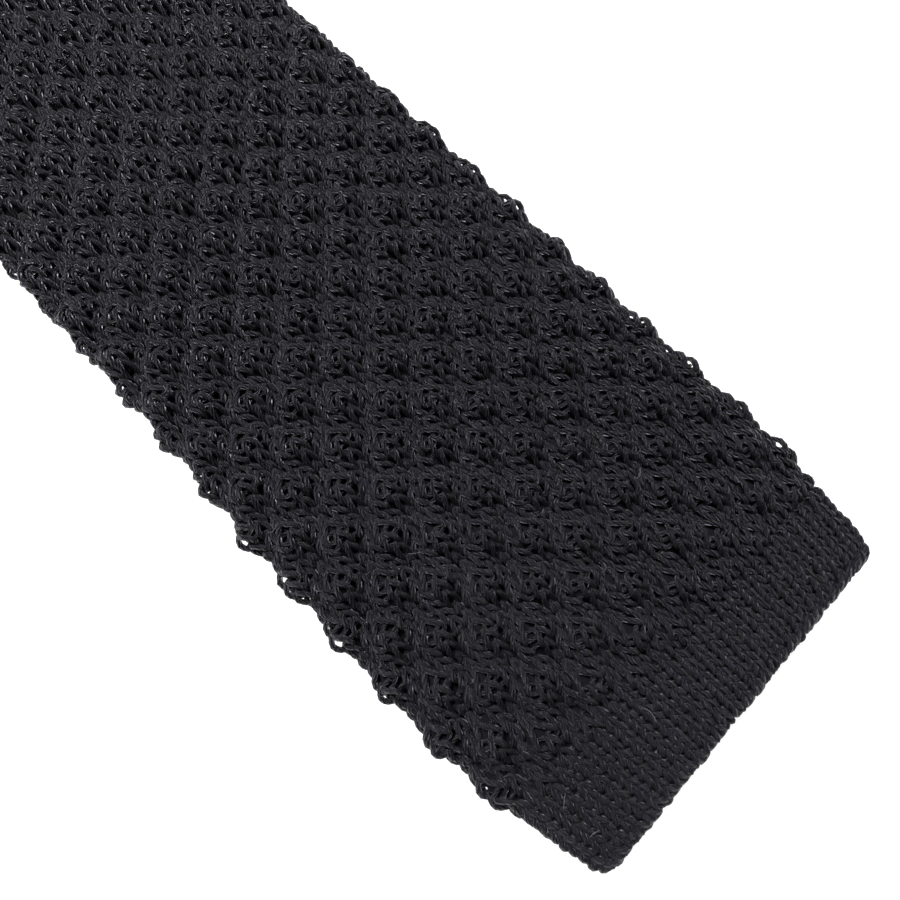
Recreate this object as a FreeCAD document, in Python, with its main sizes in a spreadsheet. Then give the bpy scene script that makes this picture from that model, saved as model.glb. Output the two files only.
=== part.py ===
import FreeCAD, Part
import Sketcher
import os

# Square-ended knitted necktie, folded in three for storage, in millimetres.
#
# The origin is on the table under the centre of the folded tie. +X runs along
# the fold towards the square end of the wide blade, +Y across it, +Z up.
# Three runs lie on each other: the wide front blade on top with its face up,
# the neck under it with its face down, and the narrow tail under both with its
# face up. The front fold is at the -X end and the tail fold at the +X end.
# Each run is modelled with its underside at z = 0 and placed at its own height.

DRIVING_SIZES = {
    "fold_length": 496.0,       # the folded tie, from the front fold to the square end
    "cloth_thick": 4.0,         # flattened bubble-knit tube, both walls
    "band_thick": 3.0,          # flattened plain-knit tube of the end bands
    "layer_gap": 0.6,           # air between runs that lie on each other
    "blade_width": 60.0,
    "blade_end_width": 54.0,    # across the square end
    "blade_end_taper": 17.5,    # length over which the end draws in
    "blade_full_run": 200.0,    # full width from the end up to here
    "band_length": 11.0,
    "band_corner": 1.5,
    "neck_width": 34.0,
    "tail_width": 44.0,
    "tail_end_width": 40.0,
    "tail_band_length": 10.0,
    "tail_inset": 14.0,         # tail end, back from the front fold's outside
    "tail_fold_inset": 14.0,    # tail fold, back from the square end
    "ramp_start": 190.0,        # where the front blade starts to rise over the keeper
    "ramp_end": 240.0,
    "ramp_rise": 5.6,
    "seam_width": 2.0,
    "seam_depth": 0.5,
    "keeper_place": 255.0,      # from the square end to the keeper's centre
    "keeper_length": 12.0,      # along the tie
    "keeper_opening": 45.2,
    "keeper_clear": 4.6,
    "keeper_thick": 0.9,
    "keeper_foot": 3.0,
    "maker_label_place": 320.0,
    "maker_label_width": 40.0,
    "maker_label_length": 18.0,
    "care_label_place": 400.0,
    "care_label_width": 22.0,
    "care_label_length": 14.0,
    "label_thick": 0.4,
    "joint_seam_length": 1.6,   # seam that joins the two halves at the neck
    "tape_width": 14.0,
    "tape_thick": 0.6,
    "tape_length": 240.0,
    "thread": 0.5,              # diameter of the sewing thread
    "stitch": 2.4,              # length of one stitch
    "end_stitch_inset": 1.92,   # closing stitches, back from the square end
    "tack_inset": 5.28,         # bar tack, back from the square end
    "tack_pitch": 0.7,          # from one stitch of the bar tack to the next
    "through_cut": 40.0,        # depth of a cut that goes through a whole run
}

END_STITCHES = 15       # stitches that close each square end
TACK_STITCHES = 5       # stitches in each bar tack and label edge


class Size:
    """A number together with the sheet expression that it comes from."""

    def __init__(self, value, text):
        self.value = value
        self.text = text

    def joined(self, other, sign, value):
        return Size(value, "(%s %s %s)" % (self.text, sign, as_size(other).text))

    def __add__(self, other):
        return self.joined(other, "+", self.value + as_size(other).value)

    def __sub__(self, other):
        return self.joined(other, "-", self.value - as_size(other).value)

    def __mul__(self, other):
        return self.joined(other, "*", self.value * as_size(other).value)

    def __truediv__(self, other):
        return self.joined(other, "/", self.value / as_size(other).value)

    def __neg__(self):
        return Size(-self.value, "(0 - %s)" % self.text)


def as_size(number):
    if isinstance(number, Size):
        return number
    return Size(float(number), "%.6f" % number)


doc = FreeCAD.newDocument("Necktie")
sheet = doc.addObject("Spreadsheet::Sheet", "Sizes")
for row, (alias, number) in enumerate(DRIVING_SIZES.items(), start=1):
    sheet.set("A%d" % row, alias)
    sheet.set("B%d" % row, str(number))
    sheet.setAlias("B%d" % row, alias)
doc.recompute()


def size(alias):
    return Size(DRIVING_SIZES[alias], "Sizes.%s" % alias)


# ---- sizes worked out from the driving ones

half_length = size("fold_length") / 2
cloth = size("cloth_thick")
gap = size("layer_gap")
neck_bottom = cloth + gap
neck_top = neck_bottom + cloth
front_bottom = neck_top + gap
band_lift = (cloth - size("band_thick")) / 2

front_fold_inner = (gap + size("ramp_rise")) / 2
front_fold_outer = front_fold_inner + cloth
tail_fold_inner = gap / 2
tail_fold_outer = tail_fold_inner + cloth

blade_tip = half_length
band_start = blade_tip - size("band_length")
front_fold_x = front_fold_outer - half_length
tail_fold_x = half_length - size("tail_fold_inset") - tail_fold_outer
tail_end = size("tail_inset") - half_length
tail_band_start = tail_end + size("tail_band_length")
neck_middle = (front_fold_x + tail_fold_x) / 2


# ---- building helpers

def bind(item, prop, amount):
    item.setExpression(prop, as_size(amount).text)


def place(item, x=0, y=0, z=0):
    bind(item, "Placement.Base.x", x)
    bind(item, "Placement.Base.y", y)
    bind(item, "Placement.Base.z", z)


def draw_loop(sketch, corners):
    """Closed outline through corners, each held to the sheet in both directions."""
    first = sketch.GeometryCount
    count = len(corners)
    spots = [FreeCAD.Vector(as_size(a).value, as_size(b).value, 0) for a, b in corners]
    for n in range(count):
        sketch.addGeometry(Part.LineSegment(spots[n], spots[(n + 1) % count]))
    for n, (across, up) in enumerate(corners):
        line = first + n
        sketch.addConstraint(Sketcher.Constraint("Coincident", line, 2, first + (n + 1) % count, 1))
        hold(sketch, line, "DistanceX", as_size(across))
        hold(sketch, line, "DistanceY", as_size(up))


def hold(sketch, line, direction, amount):
    """Ties the start of a line to the sketch's origin in one direction."""
    if abs(amount.value) < 1e-9:
        axis = -2 if direction == "DistanceX" else -1
        sketch.addConstraint(Sketcher.Constraint("PointOnObject", line, 1, axis))
        return
    held = sketch.addConstraint(Sketcher.Constraint(direction, -1, 1, line, 1, amount.value))
    sketch.setExpression("Constraints[%d]" % held, amount.text)


def new_body(label):
    body = doc.addObject("PartDesign::Body", label)
    body.Label = label
    return body


def add_sketch(body, role, loops):
    plane = [item for item in body.Origin.OriginFeatures if item.Role == role][0]
    sketch = body.newObject("Sketcher::SketchObject", body.Label + "_outline")
    sketch.AttachmentSupport = [(plane, "")]
    sketch.MapMode = "FlatFace"
    for corners in loops:
        draw_loop(sketch, corners)
    sketch.Visibility = False
    doc.recompute()
    return sketch


def add_pad(body, role, corners, length, centred):
    pad = body.newObject("PartDesign::Pad", body.Label + "_pad")
    pad.Profile = add_sketch(body, role, [corners])
    pad.SideType = "Symmetric" if centred else "One side"
    bind(pad, "Length", length)
    doc.recompute()
    return pad


def add_pocket(body, role, loops, length):
    """Cuts both ways from the plane, and makes sure that it cut something."""
    before = body.Shape.Volume
    pocket = body.newObject("PartDesign::Pocket", body.Label + "_pocket")
    pocket.Profile = add_sketch(body, role, loops)
    pocket.SideType = "Symmetric"
    bind(pocket, "Length", length)
    doc.recompute()
    if body.Shape.Volume > before - 0.01:
        raise RuntimeError("a pocket in %s cuts nothing" % body.Label)
    return pocket


def rectangle(left, right, low, high):
    return [(left, low), (right, low), (right, high), (left, high)]


def both_sides(corners):
    """The same outline on the +Y side and on the -Y side."""
    return [corners, [(x, -as_size(y)) for x, y in corners]]


def slab(label, left, right, width, low, high):
    """Flat strip centred on the tie's middle line, drawn in side view."""
    body = new_body(label)
    add_pad(body, "XZ_Plane", rectangle(left, right, low, high), width, True)
    return body


def front_side_view(left, right, low, high):
    """Side outline of the front blade's run, which ramps up over the keeper."""
    ramp_low = blade_tip - size("ramp_start")
    ramp_high = blade_tip - size("ramp_end")
    line = [(right, as_size(0)), (ramp_low, as_size(0)), (ramp_high, size("ramp_rise")),
            (left, size("ramp_rise"))]
    under = [(x, z + low) for x, z in line]
    over = [(x, z + high) for x, z in reversed(line)]
    return under + over


def thread_row(label, count, start, step, along, length, height):
    """Row of separate stitches, each one short straight piece of thread."""
    stitches = []
    for n in range(count):
        stitch = doc.addObject("Part::Cylinder", "%s_%d" % (label, n + 1))
        bind(stitch, "Radius", size("thread") / 2)
        bind(stitch, "Height", length)
        centre_x = as_size(start[0]) + as_size(step[0]) * n
        centre_y = as_size(start[1]) + as_size(step[1]) * n
        if along == "x":
            stitch.Placement.Rotation = FreeCAD.Rotation(FreeCAD.Vector(0, 1, 0), 90)
            place(stitch, centre_x - as_size(length) / 2, centre_y, height)
        else:
            stitch.Placement.Rotation = FreeCAD.Rotation(FreeCAD.Vector(1, 0, 0), -90)
            place(stitch, centre_x, centre_y - as_size(length) / 2, height)
        stitches.append(stitch)
    group = doc.addObject("Part::Compound", label)
    group.Label = label
    group.Links = stitches
    return group


def fold_bend(label, inner, outer, centre_x, centre_z, turn):
    """Half ring of cloth that joins two runs round a fold."""
    halves = []
    for name, radius in (("outer", outer), ("inner", inner)):
        half = doc.addObject("Part::Cylinder", "%s_%s" % (label, name))
        bind(half, "Radius", radius)
        bind(half, "Height", size("neck_width"))
        half.Angle = 180
        half.Placement.Rotation = FreeCAD.Rotation(FreeCAD.Vector(0, 1, 0), turn) \
            * FreeCAD.Rotation(FreeCAD.Vector(1, 0, 0), -90)
        place(half, centre_x, -size("neck_width") / 2, centre_z)
        halves.append(half)
    ring = doc.addObject("Part::Cut", label)
    ring.Label = label
    ring.Base, ring.Tool = halves
    return ring


# ---- front blade: panel, end band, seam and sewing

def make_front_panel():
    """Bubble-knit tube: full width near the end, narrowing to the neck."""
    panel = new_body("front_blade_panel")
    outline = front_side_view(front_fold_x, band_start, as_size(0), cloth)
    add_pad(panel, "XZ_Plane", outline, size("blade_width"), True)
    groove = front_side_view(front_fold_x, band_start, as_size(0), size("seam_depth"))
    add_pocket(panel, "XZ_Plane", [groove], size("seam_width"))
    full = size("blade_width") / 2
    taper = both_sides([(blade_tip - size("blade_full_run"), full), (front_fold_x, full),
                        (front_fold_x, size("neck_width") / 2)])
    end_taper = both_sides([(blade_tip - size("blade_end_taper"), full), (band_start, full),
                            (band_start, band_half_width)])
    add_pocket(panel, "XY_Plane", taper + end_taper, size("through_cut"))
    place(panel, z=front_bottom)


def make_end_band(label, start, end, start_half, end_half, height):
    """Plain-knit band that finishes a blade with a straight edge."""
    band = new_body(label)
    corners = [(start, -start_half), (end, -end_half), (end, end_half), (start, start_half)]
    pad = add_pad(band, "XY_Plane", corners, size("band_thick"), False)
    rounded = band.newObject("PartDesign::Fillet", label + "_corners")
    upright = []
    for n, edge in enumerate(pad.Shape.Edges, start=1):
        middle = edge.BoundBox.Center
        if edge.BoundBox.ZLength > 1 and abs(middle.x - end.value) < 0.01:
            upright.append("Edge%d" % n)
    rounded.Base = (pad, upright)
    bind(rounded, "Radius", size("band_corner"))
    place(band, z=height + band_lift)


def make_front_seam():
    """Closed back seam, sunk level with the underside of the blade."""
    seam = new_body("front_back_seam")
    outline = front_side_view(front_fold_x, band_start, as_size(0), size("seam_depth"))
    add_pad(seam, "XZ_Plane", outline, size("seam_width"), True)
    place(seam, z=front_bottom)


def make_end_sewing(prefix, end, end_half, inward, height):
    """Stitches that close the square end, and the bar tack where the seam meets it."""
    under = height + band_lift - size("thread") / 2
    margin = size("band_corner") + size("thread")
    pitch = (end_half - margin) * 2 / (END_STITCHES - 1)
    edge_x = end + size("end_stitch_inset") * inward
    thread_row(prefix + "_end_stitches", END_STITCHES, (edge_x, margin - end_half), (0, pitch),
               "x", size("stitch"), under)
    tack_x = end + size("tack_inset") * inward
    thread_row(prefix + "_seam_tack", TACK_STITCHES, (tack_x, as_size(0)),
               (size("tack_pitch") * inward, 0), "y", size("stitch") * 2, under)


# ---- keeper loop and labels

def make_keeper():
    """Strap across the back of the blade that holds the tail, with a foot at each side."""
    loop = new_body("keeper_loop")
    inner = size("keeper_opening") / 2
    wall = inner + size("keeper_thick")
    foot = wall + size("keeper_foot")
    thick = size("keeper_thick")
    low = -size("keeper_clear") - thick
    right = [(inner, 0), (foot, 0), (foot, -thick), (wall, -thick), (wall, low)]
    left = [(-as_size(y), z) for y, z in reversed(right)]
    strap = [(-inner, -size("keeper_clear")), (inner, -size("keeper_clear"))]
    add_pad(loop, "YZ_Plane", right + left + strap, size("keeper_length"), True)
    keeper_x = blade_tip - size("keeper_place")
    under = front_bottom + size("ramp_rise")
    place(loop, x=keeper_x, z=under)
    pitch = size("keeper_length") / (TACK_STITCHES + 1)
    for side, sign in (("left", 1), ("right", -1)):
        middle = (wall + foot) / 2 * sign
        first_x = keeper_x - pitch * (TACK_STITCHES - 1) / 2
        thread_row("keeper_tack_" + side, TACK_STITCHES, (first_x, middle), (pitch, 0), "y",
                   size("stitch"), under - thick - size("thread") / 2)


def make_label(name, centre_x, length, width, low, stitch_height):
    """Blank woven label, sewn down along both short ends."""
    slab(name, centre_x - length / 2, centre_x + length / 2, width, low, low + size("label_thick"))
    ends = []
    pitch = length / (TACK_STITCHES + 1)
    first_x = centre_x - pitch * (TACK_STITCHES - 1) / 2
    for sign in (1, -1):
        row = thread_row("%s_row_%s" % (name, "left" if sign > 0 else "right"), TACK_STITCHES,
                         (first_x, (width / 2 - size("stitch")) * sign), (pitch, 0), "y",
                         size("stitch"), stitch_height)
        ends.append(row)
    both = doc.addObject("Part::Compound", name + "_stitches")
    both.Label = name + "_stitches"
    both.Links = ends


def make_labels():
    maker_under = front_bottom + size("ramp_rise") - size("label_thick")
    make_label("maker_label", blade_tip - size("maker_label_place"), size("maker_label_length"),
               size("maker_label_width"), maker_under, maker_under - size("thread") / 2)
    care_top = neck_top + size("label_thick")
    make_label("care_label", blade_tip - size("care_label_place"), size("care_label_length"),
               size("care_label_width"), neck_top, care_top + size("thread") / 2)


# ---- neck: two halves, the seam that joins them, the stay tape in the tube

def make_neck_piece(label, left, right):
    """Length of neck tube with the back seam's groove on top and the tape's space inside."""
    piece = slab(label, left, right, size("neck_width"), as_size(0), cloth)
    top = cloth - size("seam_depth")
    add_pocket(piece, "XZ_Plane", [rectangle(left, right, top, cloth)], size("seam_width"))
    low = (cloth - size("tape_thick")) / 2
    tape_left = neck_middle - size("tape_length") / 2
    tape_right = neck_middle + size("tape_length") / 2
    space_left = left if left.value > tape_left.value else tape_left
    space_right = right if right.value < tape_right.value else tape_right
    space = rectangle(space_left, space_right, low, low + size("tape_thick"))
    add_pocket(piece, "XZ_Plane", [space], size("tape_width"))
    place(piece, z=neck_bottom)


def make_neck():
    half_seam = size("joint_seam_length") / 2
    make_neck_piece("neck_front_half", front_fold_x, neck_middle - half_seam)
    make_neck_piece("neck_joining_seam", neck_middle - half_seam, neck_middle + half_seam)
    make_neck_piece("neck_tail_half", neck_middle + half_seam, tail_fold_x)
    seam = slab("neck_back_seam", front_fold_x, tail_fold_x, size("seam_width"),
                cloth - size("seam_depth"), cloth)
    place(seam, z=neck_bottom)
    low = (cloth - size("tape_thick")) / 2
    tape = slab("neck_stay_tape", neck_middle - size("tape_length") / 2,
                neck_middle + size("tape_length") / 2, size("tape_width"),
                low, low + size("tape_thick"))
    place(tape, z=neck_bottom)


# ---- tail blade

def make_tail():
    panel = slab("tail_blade_panel", tail_band_start, tail_fold_x, size("tail_width"),
                 as_size(0), cloth)
    add_pocket(panel, "XZ_Plane",
               [rectangle(tail_band_start, tail_fold_x, as_size(0), size("seam_depth"))],
               size("seam_width"))
    full = size("tail_width") / 2
    sides = both_sides([(tail_fold_x, size("neck_width") / 2), (tail_fold_x, full),
                        (tail_band_start, full)])
    add_pocket(panel, "XY_Plane", sides, size("through_cut"))
    slab("tail_back_seam", tail_band_start, tail_fold_x, size("seam_width"), as_size(0),
         size("seam_depth"))


# ---- the whole tie

taper_share = size("band_length") / size("blade_end_taper")
band_half_width = size("blade_end_width") / 2 \
    + (size("blade_width") - size("blade_end_width")) / 2 * taper_share
front_end_half = size("blade_end_width") / 2
tail_end_half = size("tail_end_width") / 2

make_front_panel()
make_end_band("front_end_band", band_start, blade_tip, band_half_width, front_end_half,
              front_bottom)
make_front_seam()
make_end_sewing("front", blade_tip, front_end_half, -1, front_bottom)
make_keeper()
make_labels()
fold_bend("front_fold_bend", front_fold_inner, front_fold_outer, front_fold_x,
          neck_top + front_fold_inner, 90)
make_neck()
fold_bend("tail_fold_bend", tail_fold_inner, tail_fold_outer, tail_fold_x,
          cloth + tail_fold_inner, -90)
make_tail()
make_end_band("tail_end_band", tail_band_start, tail_end, size("tail_width") / 2, tail_end_half,
              as_size(0))
make_end_sewing("tail", tail_end, tail_end_half, 1, as_size(0))

NODES = [
    "front_blade_panel", "front_end_band", "front_back_seam", "front_end_stitches",
    "front_seam_tack", "keeper_loop", "keeper_tack_left", "keeper_tack_right", "maker_label",
    "maker_label_stitches", "front_fold_bend", "neck_front_half", "neck_joining_seam",
    "neck_tail_half", "neck_back_seam", "neck_stay_tape", "care_label", "care_label_stitches",
    "tail_fold_bend", "tail_blade_panel", "tail_end_band", "tail_back_seam",
    "tail_end_stitches", "tail_seam_tack",
]

doc.recompute()
for item in doc.Objects:
    if "Invalid" in item.State or "Error" in item.State:
        raise RuntimeError("%s failed to build: %s" % (item.Label, item.State))

shapes = {}
for node in NODES:
    shape = doc.getObjectsByLabel(node)[0].Shape
    if shape.isNull() or not shape.isValid():
        raise RuntimeError("%s has no valid shape" % node)
    shapes[node] = shape

os.makedirs("parts", exist_ok=True)
for node, shape in shapes.items():
    shape.exportStep("parts/%s.step" % node)
    box = shape.BoundBox
    print("%-22s solids %2d  x %8.2f %8.2f  y %7.2f %7.2f  z %6.2f %6.2f  volume %9.1f" % (
        node, len(shape.Solids), box.XMin, box.XMax, box.YMin, box.YMax, box.ZMin, box.ZMax,
        shape.Volume))

# A hinge that sits half the bend's unrolled length past the fold leaves the open run
# as far away as the flat cloth would put it.
pivot_share = 1.57
for name, inner, fold_x, middle in (
        ("front_fold", front_fold_inner, front_fold_x, neck_top + front_fold_inner),
        ("tail_fold", tail_fold_inner, tail_fold_x, cloth + tail_fold_inner)):
    reach = pivot_share * (inner.value + cloth.value / 2)
    outward = -1 if name == "front_fold" else 1
    print("%s pivot x %.3f z %.3f" % (name, fold_x.value + outward * reach, middle.value))
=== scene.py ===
import bpy
import numpy as np
from mathutils import Matrix, Vector


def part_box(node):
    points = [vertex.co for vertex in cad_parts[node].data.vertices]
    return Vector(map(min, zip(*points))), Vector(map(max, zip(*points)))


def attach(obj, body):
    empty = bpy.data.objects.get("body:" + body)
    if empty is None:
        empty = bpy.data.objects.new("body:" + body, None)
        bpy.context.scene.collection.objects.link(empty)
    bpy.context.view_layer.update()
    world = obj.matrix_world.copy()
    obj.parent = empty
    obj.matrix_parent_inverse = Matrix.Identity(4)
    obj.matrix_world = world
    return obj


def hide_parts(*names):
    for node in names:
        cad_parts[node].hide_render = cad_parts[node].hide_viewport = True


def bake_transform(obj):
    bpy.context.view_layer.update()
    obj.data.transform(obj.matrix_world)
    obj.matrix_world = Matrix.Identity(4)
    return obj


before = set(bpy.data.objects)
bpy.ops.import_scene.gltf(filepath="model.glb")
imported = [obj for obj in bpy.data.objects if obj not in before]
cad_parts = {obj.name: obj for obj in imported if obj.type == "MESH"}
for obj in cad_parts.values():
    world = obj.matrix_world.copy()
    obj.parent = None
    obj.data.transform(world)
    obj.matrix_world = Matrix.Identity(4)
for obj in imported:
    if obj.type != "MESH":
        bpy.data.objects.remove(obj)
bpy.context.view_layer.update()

# A knitted necktie folded in three. Every yarn is placed on the tie's own surface:
# s runs along the tie from the square end of the wide blade to the end of the tail,
# u runs round the flattened tube from the middle of its face, e is the height above
# the tube's mean surface. Lengths are in metres.

MM = 0.001

# ---- places taken from the CAD nodes

band_low, band_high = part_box("front_end_band")
panel_low, panel_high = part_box("front_blade_panel")
neck_low, neck_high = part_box("neck_front_half")
_, tail_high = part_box("tail_blade_panel")
tail_band_low, tail_band_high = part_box("tail_end_band")

CLOTH = neck_high.z - neck_low.z
TIP_X = band_high.x
FRONT_FOLD_X = panel_low.x
TAIL_FOLD_X = tail_high.x
TAIL_END_X = tail_band_low.x
FRONT_MID_Z = panel_low.z + CLOTH / 2
RAMP_RISE = panel_high.z - panel_low.z - CLOTH
NECK_MID_Z = (neck_low.z + neck_high.z) / 2
TAIL_MID_Z = CLOTH / 2
RAMP_START, RAMP_END = 190 * MM, 240 * MM   # where the blade climbs over the keeper
BAND_LENGTH = band_high.x - band_low.x
TAIL_BAND_LENGTH = tail_band_high.x - tail_band_low.x
BLADE_HALF = panel_high.y
NECK_HALF = neck_high.y
TAIL_HALF = tail_high.y
BLADE_END_HALF = 27 * MM        # half of the square end of the wide blade
TAIL_END_HALF = 20 * MM         # and of the tail's
BLADE_END_TAPER = 17.5 * MM     # length over which the wide end draws in
BLADE_FULL_RUN = 200 * MM       # the blade keeps its full width up to here

# ---- the knit

WALE = 2.1573 * MM              # width of one column of stitches
REPEAT = 8.795 * MM             # five stitches, one bubble
COURSES = 5                     # courses in one repeat
HALF_DROP = 2                   # courses by which every other column of bubbles is shifted
FIVE_STITCHES = np.array([-3.50, -1.58, 0.25, 1.46, 3.08]) * MM     # where each one starts
BUBBLE_PLACE = -2.8 * MM        # bubble's top, from the middle of the repeat
REFERENCE_S = 70.35 * MM        # the stitch that the pattern is counted from
REFERENCE_Y = -9.60 * MM
SPIRAL = 0.0259                 # the columns of a knitted tube lean a little
SPIRAL_FADE = 250 * MM
COURSE_LEAN = 0.0545 * MM       # step of a course from one column to the next
BAND_COURSE = 1.29 * MM
TAIL_BAND_SHARE = 0.93          # the tail's band is knitted a little tighter
BAND_COURSES = 8
YARN = 0.375 * MM               # yarn radius
EDGE_OVER = 0.35 * MM           # yarns at the edge stand this far past the CAD outline
TOP_LIFT = 0.25 * MM            # how much fuller the face is than the back
BLADE_THICK = 1.25 * MM         # half the tube's thickness on the wide blade
NECK_THICK = 1.00 * MM          # and on the neck and the tail, which are pressed flatter
CORE_DEPTH = 1.05 * MM          # the ground below the yarns
BUBBLE_HIGH = 1.50 * MM
BUBBLE_BLUNT = 0.8              # under 1 makes a bubble rounder than a wave
HOLLOW = 0.85                   # depth of a hollow, as a share of a bubble's height
BUBBLE_UNEVEN = 0.18            # how much the bubbles differ in height
WANDER_ALONG, WANDER_ACROSS = 0.14 * MM, 0.12 * MM      # how far the knit wanders
PUSH = 0.55 * MM                # how far a bubble pushes the columns beside it aside
SIDE_COLUMN_DEEP = 0.50 * MM    # the columns between bubbles lie lower
BAND_TOP = 10.53 * MM           # where the band's first course starts
LAST_COURSE = 36                # the bubble knit's course that would start there
NEXT_COURSE = 1.55 * MM         # spacing of the last courses before the band
FRONT_TURN_STEPS, TAIL_TURN_STEPS = 90, 60      # points along each fold of the middle line


def ease(value):
    """Smooth step from 0 to 1."""
    value = np.clip(value, 0, 1)
    return value * value * (3 - 2 * value)


def make_path():
    """Middle line of the folded tie in side view, with its length, heading and fold marks."""
    fine = 0.25 * MM
    spare = 2 * MM
    front_x = np.arange(TIP_X + spare, FRONT_FOLD_X, -fine)
    front_z = FRONT_MID_Z + RAMP_RISE * ease((TIP_X - front_x - RAMP_START)
                                             / (RAMP_END - RAMP_START))
    high_z = FRONT_MID_Z + RAMP_RISE
    turn = np.linspace(0.5 * np.pi, 1.5 * np.pi, FRONT_TURN_STEPS)
    radius = (high_z - NECK_MID_Z) / 2
    front_turn = (FRONT_FOLD_X + radius * np.cos(turn),
                  (high_z + NECK_MID_Z) / 2 + radius * np.sin(turn))
    neck_x = np.arange(FRONT_FOLD_X + fine, TAIL_FOLD_X, fine)
    turn = np.linspace(0.5 * np.pi, -0.5 * np.pi, TAIL_TURN_STEPS)
    radius = (NECK_MID_Z - TAIL_MID_Z) / 2
    tail_turn = (TAIL_FOLD_X + radius * np.cos(turn),
                 (NECK_MID_Z + TAIL_MID_Z) / 2 + radius * np.sin(turn))
    tail_x = np.arange(TAIL_FOLD_X - fine, TAIL_END_X - spare, -fine)
    x = np.concatenate([front_x, front_turn[0], neck_x, tail_turn[0], tail_x])
    z = np.concatenate([front_z, front_turn[1], np.full(len(neck_x), NECK_MID_Z),
                        tail_turn[1], np.full(len(tail_x), TAIL_MID_Z)])
    counts = np.cumsum([len(front_x), FRONT_TURN_STEPS, len(neck_x), TAIL_TURN_STEPS])
    s = np.concatenate([[0], np.cumsum(np.hypot(np.diff(x), np.diff(z)))]) - spare
    heading = np.unwrap(np.arctan2(np.gradient(z), np.gradient(x)))
    marks = [s[counts[0]], s[counts[1] - 1], s[counts[2]], s[counts[3] - 1], s[-1] - spare]
    return s, x, z, heading, marks


PATH_S, PATH_X, PATH_Z, PATH_HEADING, MARKS = make_path()
FRONT_END_S, NECK_START_S, NECK_END_S, TAIL_START_S, TIE_LENGTH = MARKS

# Half the width, and half the thickness, at places along the tie.

WIDTH_S = [-5 * MM, 0, BLADE_END_TAPER, BLADE_FULL_RUN, FRONT_END_S, TAIL_START_S,
           TIE_LENGTH - TAIL_BAND_LENGTH, TIE_LENGTH]
WIDTH_HALF = [BLADE_END_HALF, BLADE_END_HALF, BLADE_HALF, BLADE_HALF, NECK_HALF, NECK_HALF,
              TAIL_HALF, TAIL_END_HALF]
END_THICK, BAND_THICK = 0.45 * MM, 0.85 * MM
THICK_S = [-1 * MM, 0, 3 * MM, BAND_LENGTH - 1 * MM, BAND_LENGTH + 3 * MM,
           FRONT_END_S - 40 * MM, FRONT_END_S, TIE_LENGTH - 3 * MM, TIE_LENGTH]
THICK_HALF = [0.35 * MM, END_THICK, BAND_THICK, 0.95 * MM, BLADE_THICK, BLADE_THICK,
              NECK_THICK, BAND_THICK, END_THICK]

CORNER = 2.5 * MM               # rounding of the corners at both square ends
FULLER = 0.45 * MM              # the blade bulges a little behind its band
DRIFT_S = [0, 12 * MM, 25 * MM, 55 * MM, 85 * MM]
DRIFT_Y = [0.35 * MM, 0, -0.45 * MM, -0.45 * MM, 0]


def corner_cut(from_end):
    """How far a rounded corner draws the edge in, at a distance from the square end."""
    left = np.clip(CORNER - from_end, 0, CORNER)
    return CORNER - np.sqrt(CORNER ** 2 - left ** 2)


def half_width(s):
    """Half the width of the tube's mean surface."""
    fuller = FULLER * ease((s - 10 * MM) / (15 * MM)) * ease((85 * MM - s) / (30 * MM))
    cut = corner_cut(s) + corner_cut(TIE_LENGTH - s)
    return np.interp(s, WIDTH_S, WIDTH_HALF) - YARN + EDGE_OVER + fuller - 0.6 * cut


def round_half(s):
    """Half of the way round the flattened tube."""
    thick = np.interp(s, THICK_S, THICK_HALF)
    return 2 * (half_width(s) - thick) + np.pi * thick


def middle_line(s):
    """The cloth's middle wanders a little from the blade's."""
    return np.interp(s, DRIFT_S, DRIFT_Y)


def squeeze(s):
    """How much narrower the same columns are where an end draws in."""
    first = 30 * MM
    front = np.where(s < first, half_width(s) / half_width(first), 1.0)
    last = TIE_LENGTH - TAIL_BAND_LENGTH
    return np.where(s > last, half_width(s) / half_width(last), front)


def relief_strength(s, u):
    """Bubbles fade out at the bands. They lie flatter on the back, neck, tail and tail fold."""
    fade = 2.5 * MM
    ends = ease((s - BAND_LENGTH) / fade) * ease((TIE_LENGTH - TAIL_BAND_LENGTH - s) / fade)
    edge = half_width(s) - BLADE_THICK
    back = ease((np.abs(u) - edge + 1 * MM + 1.2 * MM * (u > 0)) / (5 * MM))
    pressed = ease((s - FRONT_END_S + 60 * MM) / (60 * MM))
    inside_fold = ease(1 - np.abs(s - (NECK_END_S + TAIL_START_S) / 2) / (8 * MM))
    return ends * (1 - 0.8 * back) * (1 - 0.55 * pressed) * (1 - 0.6 * inside_fold)


def on_tie(s, u, e):
    """Points and outward normals at s along, u round, e above the tube's mean surface."""
    x = np.interp(s, PATH_S, PATH_X)
    z = np.interp(s, PATH_S, PATH_Z)
    heading = np.interp(s, PATH_S, PATH_HEADING)
    face_x, face_z = np.sin(heading), -np.cos(heading)
    half = half_width(s)
    thick = np.interp(s, THICK_S, THICK_HALF)
    flat = half - thick
    side, reach = np.sign(u), np.abs(u)
    angle = np.clip((reach - flat) / thick, 0, np.pi)
    beyond = np.maximum(reach - flat - np.pi * thick, 0)
    y = side * (np.minimum(reach, flat) + thick * np.sin(angle) - beyond)
    up = thick * np.cos(angle)
    out_y, out_up = side * np.sin(angle), np.cos(angle)
    face_share = ease(1 - (reach - flat) / (np.pi * thick))
    lift = TOP_LIFT * face_share * ease((FRONT_END_S - s) / (40 * MM))
    y = y + out_y * (e + lift)
    up = up + out_up * (e + lift)
    points = np.stack([x + face_x * up, y + middle_line(s), z + face_z * up], -1)
    normals = np.stack([face_x * out_up, out_y, face_z * out_up], -1)
    return points, normals


def spiral_shift(along):
    """How far the columns have leaned across, at a distance along them."""
    return SPIRAL * SPIRAL_FADE * np.tanh(along / SPIRAL_FADE)


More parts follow.
